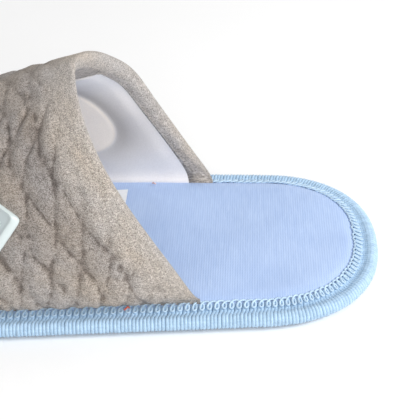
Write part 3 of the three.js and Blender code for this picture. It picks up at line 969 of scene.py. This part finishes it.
def insole_label(material):
    """A blank ribbon across the insole under the upper, its corners lifting a little."""
    columns, lines = 18, 42
    x = LABEL_HEEL_EDGE_X + LABEL_LENGTH * np.linspace(0, 1, columns)
    y = LABEL_WIDTH * np.linspace(-0.5, 0.5, lines)
    grid_x, grid_y = np.meshgrid(x, y, indexing="ij")
    corner = (np.abs(grid_y) / (LABEL_WIDTH / 2)) ** 6
    heel_side = np.linspace(1, 0, columns)[:, None] ** 2
    grid = np.stack([grid_x, grid_y, LABEL_Z + LABEL_CURL * corner * heel_side], -1)
    return grid_piece("label", grid, material, flip=True)


# ---- the binding ----


def path_round(distance, insets, heights):
    """3-D points at distances round the outline, for any array of insets and heights."""
    at, _ = rim(distance, insets)
    return np.concatenate([at, np.broadcast_to(heights, distance.shape)[..., None]], -1)


def rim_tangent(distance):
    _, outward = rim(distance, np.zeros_like(distance))
    return np.stack([-outward[..., 1], outward[..., 0], np.zeros_like(distance)], -1)


def binding_wraps(material):
    """The yarn that wraps the sole's edge, two strands to each loop, drawn together below it."""
    draw = np.random.default_rng(WRAP_SEED)
    wraps = STRANDS_A_LOOP * round(PERIMETER / LOOP_PITCH)
    pitch = PERIMETER / wraps
    share = np.linspace(0, 1, 30)
    knots = np.linspace(0, 1, len(BINDING_PATH))
    strand = np.arange(wraps)
    wobble = draw.normal(0, 0.05, (wraps, 1)) * np.sin(np.pi * share)
    inset = np.interp(share, knots, BINDING_PATH[:, 0]) + wobble
    z = np.interp(share, knots, BINDING_PATH[:, 1]) + wobble * smooth_step(0.2, 0.4, share)
    start = (strand + 0.5) * pitch + draw.normal(0, 0.05, wraps)
    pull = np.where(strand % STRANDS_A_LOOP == 0, WRAP_PULL, -WRAP_PULL) * pitch
    slant = WRAP_SLANT * pitch * smooth_step(0.6, 1.0, share)
    distance = start[:, None] + pull[:, None] * smooth_step(0.72, 1.0, share) + slant
    paths = path_round(distance, inset, z)
    radius = UNDER_RADIUS + (WRAP_RADIUS - UNDER_RADIUS) * smooth_step(0.15, 0.35, share)
    radius = radius * draw.uniform(0.94, 1.04, (wraps, 1))
    points, faces, uv = yarn_tubes(paths, radius, rim_tangent(distance), 8)
    return make_piece("binding_wraps", points, faces, material, uv)


def binding_bed(material):
    """Thread packed under the wraps, so that no gap shows between them."""
    distance = np.linspace(0, PERIMETER, BED_STATIONS, endpoint=False)
    rows = []
    for at in BINDING_PATH:
        inwards = BINDING_MIDDLE - at
        deeper = at + BED_SINK * inwards / np.hypot(*inwards)
        rows.append(path_round(distance, np.full(BED_STATIONS, deeper[0]), deeper[1]))
    uv = np.stack(np.meshgrid(np.arange(len(rows)) * 1.6, distance, indexing="ij"), -1).reshape(-1, 2)
    return grid_piece("binding_bed", np.array(rows), material, wrap=True, flip=True, uv=uv)


def chain_loops(name, row, material, seed):
    """One yarn round the binding's edge in touching loops, heads inwards."""
    draw = np.random.default_rng(seed)
    loops = round(PERIMETER / LOOP_PITCH)
    pitch = PERIMETER / loops
    turn = 2 * np.pi * np.arange(loops * LOOP_STEPS) / LOOP_STEPS
    head = -np.cos(turn)

    # Each loop has its own width, which changes smoothly into the next one's.
    widths = np.repeat(draw.uniform(0.78, 1.2, loops), LOOP_STEPS)
    window = 9
    margin = window // 2
    ring = np.concatenate([widths[-margin:], widths, widths[:margin]])
    widths = np.convolve(ring, np.ones(window) / window, "valid")

    swing = LOOP_OVERLAP * pitch * np.sin(turn)
    distance = pitch * turn / (2 * np.pi) - swing + LOOP_LEAN * head
    inset = row["inset"] + row["half_width"] * widths * head
    under_upper = smooth_step(-80, -55, np.interp(distance % PERIMETER, OUTLINE_REACH, OUTLINE_X))
    height = row["z"] - row["sunk"] * under_upper + row["rise"] * head + LOOP_WEAVE * np.sin(turn + 0.6)
    path = path_round(distance, inset, height)
    points, faces, uv = yarn_tubes(path[None], row["radius"], (0.0, 0.0, 1.0), 8, closed=True)
    return make_piece(name, points, faces, material, uv)


def stray_thread(name, distance, insets, heights, radius, material):
    """A snipped end of thread caught in a seam."""
    path = path_round(distance, insets, heights)
    points, faces, uv = yarn_tubes(path[None], radius, (0.0, 0.0, 1.0))
    return make_piece(name, points, faces, material, uv)


def outer_thread(material):
    """A short end of thread arched over the outer seam."""
    share = np.linspace(0, 1, THREAD_STEPS)
    distance = reach_at(OUTER_THREAD_X) + (2.2 * share + 0.4 * np.sin(5 * share))
    heights = 7.2 + np.sin(math.pi * share)
    return stray_thread("outer_thread", distance, 6.6 + share, heights, 0.34, material)


def inner_thread(material):
    """A short end of thread on the insole by the inner seam."""
    share = np.linspace(0, 1, THREAD_STEPS)
    distance = PERIMETER - reach_at(INNER_THREAD_X) + 1.4 * share
    insets = 14.2 + 0.4 * np.sin(6 * share)
    heights = 9.0 + 0.4 * np.sin(math.pi * share)
    return stray_thread("inner_thread", distance, insets, heights, 0.3, material)


# ---- camera, light and floor ----


def add_object(name, data):
    made = bpy.data.objects.new(name, data)
    bpy.context.scene.collection.objects.link(made)
    return made


def look_from(thing, place, aim, roll=0.0):
    """Puts a camera or a light at a place, facing another."""
    thing.location = place
    thing.rotation_mode = "QUATERNION"
    facing = (Vector(aim) - Vector(place)).to_track_quat("-Z", "Y")
    thing.rotation_quaternion = facing @ Quaternion((0, 0, 1), roll)


def add_camera():
    data = bpy.data.cameras.new("camera")
    data.lens = CAMERA_LENS
    data.sensor_width = 36
    data.clip_start = 0.01
    camera = add_object("camera", data)
    look_from(camera, Vector(CAMERA_PLACE) * MM, Vector(CAMERA_AIM) * MM, CAMERA_ROLL)
    bpy.context.scene.camera = camera


def add_area_light(name, place, aim, size, power):
    data = bpy.data.lights.new(name, "AREA")
    data.size = size
    data.energy = power
    light = add_object(name, data)
    look_from(light, place, aim)


def add_floor():
    mesh = bpy.data.meshes.new("floor")
    signs = [(-1, -1), (1, -1), (1, 1), (-1, 1)]
    corners = [(FLOOR_REACH * x, FLOOR_REACH * y, FLOOR_Z) for x, y in signs]
    mesh.from_pydata(corners, [], [(0, 1, 2, 3)])
    s = Shader("floor_paint")
    speck = s.noise(s.place(), 0.02)
    colour = s.ramp(speck, (0.0, rgb(252, 252, 252)), (1.0, rgb(254, 254, 254)))
    mesh.materials.append(s.finish(colour, 0.9))
    add_object("floor", mesh)


def add_studio():
    world = bpy.data.worlds.new("studio")
    bpy.context.scene.world = world
    world.use_nodes = True
    sky = world.node_tree.nodes["Background"]
    sky.inputs["Color"].default_value = WHITE
    sky.inputs["Strength"].default_value = SKY_STRENGTH
    add_area_light("key", **KEY_LIGHT)
    add_area_light("fill", **FILL_LIGHT)
    add_floor()
    bpy.context.scene.view_settings.view_transform = "Standard"


# ---- the slipper ----


def stand_in_for(piece, slot, *nodes):
    """Hides the CAD nodes that a piece replaces, and returns the piece. slot is not used."""
    if nodes:
        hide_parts(*nodes)
    return piece


def build_upper():
    shell = quilted_upper(marl_jersey())
    stand_in_for(shell, "marl_jersey", "upper_shell", "upper_wadding", "throat_facing")
    lining = stand_in_for(fleece_lining(fleece()), "fleece", "upper_lining")
    thread = sewing_thread("facing_thread", (204, 197, 190))
    stand_in_for(facing_stitches(thread), "marl_jersey", "facing_seam")


def build_badge():
    stand_in_for(side_badge(badge_moulding()), "badge", "side_badge")
    thread = sewing_thread("badge_thread", (206, 220, 218))
    stand_in_for(badge_stitches(thread), "badge", "badge_stitching")


def build_sole():
    cloth = stand_in_for(stretched_insole(insole_weave()), "insole_cloth", "insole_cover")
    padding = stand_in_for(sole_padding(soft_foam()), "soft_foam", "midsole_foam", "insole_sponge")
    stand_in_for(outsole(outsole_foam()), "outsole_foam", "outsole")
    ribbon = stand_in_for(insole_label(label_ribbon()), "label", "insole_label")


def build_binding():
    yarn = binding_yarn("binding_yarn", (176, 205, 230))
    # Painted light: the thread under the wraps is a lighter copy of the binding yarn, so the gaps between
    # wraps show less shade.
    lightened_bed_yarn = binding_yarn("binding_bed", (196, 221, 241))
    pale = binding_yarn("loop_yarn", (192, 218, 240))
    stand_in_for(binding_bed(lightened_bed_yarn), "binding_yarn")
    stand_in_for(binding_wraps(yarn), "binding_yarn", "edge_binding")
    loops = chain_loops("top_chain_loops", TOP_LOOPS, pale, TOP_LOOPS_SEED)
    stand_in_for(loops, "binding_yarn", "top_chain_stitch")
    under = chain_loops("bottom_chain_loops", BOTTOM_LOOPS, yarn, BOTTOM_LOOPS_SEED)
    stand_in_for(under, "binding_yarn", "bottom_chain_stitch")
    red = sewing_thread("red_thread", (226, 116, 96))
    stand_in_for(outer_thread(red), "binding_yarn")
    pink = sewing_thread("pink_thread", (238, 200, 198))
    stand_in_for(inner_thread(pink), "binding_yarn")


def main():
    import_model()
    build_upper()
    build_badge()
    build_sole()
    build_binding()
    add_camera()
    add_studio()


main()
